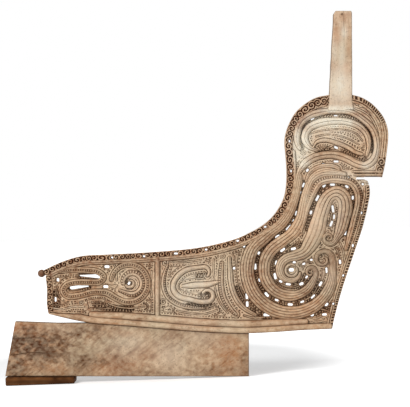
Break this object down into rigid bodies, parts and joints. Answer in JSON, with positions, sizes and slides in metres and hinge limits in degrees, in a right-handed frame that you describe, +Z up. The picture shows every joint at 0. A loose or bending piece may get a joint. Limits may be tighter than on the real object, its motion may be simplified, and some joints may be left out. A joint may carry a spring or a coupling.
{
  "type": "canoe prow ornament",
  "caption": "Openwork carved wooden canoe prow board with a beaked scroll head and plain post, doweled to a plain hull tongue that stands on a low wedge block.",
  "frame": {"origin": "on the ground, below the centre of the bounding box", "axes": "+X along the board towards the beaked head, +Y through the board's thickness, +Z up"},
  "size_m": [0.9806, 0.092, 0.9065],
  "materials": {
    "board_wood": "dry hand-carved timber with traces of red-brown and pale lime pigment in the cuts",
    "tongue_wood": "plain adzed timber, weathered, with an orange tint",
    "treenail_wood": "turned hardwood peg, bare",
    "block_wood": "dark stained hardwood, worn edges"
  },
  "bodies": {
    "root": {"prow_board": "board_wood", "hull_tongue": "tongue_wood", "treenail_1": "treenail_wood", "treenail_2": "treenail_wood", "treenail_3": "treenail_wood", "treenail_4": "treenail_wood", "foot_block": "block_wood"}
  },
  "joints": []
}
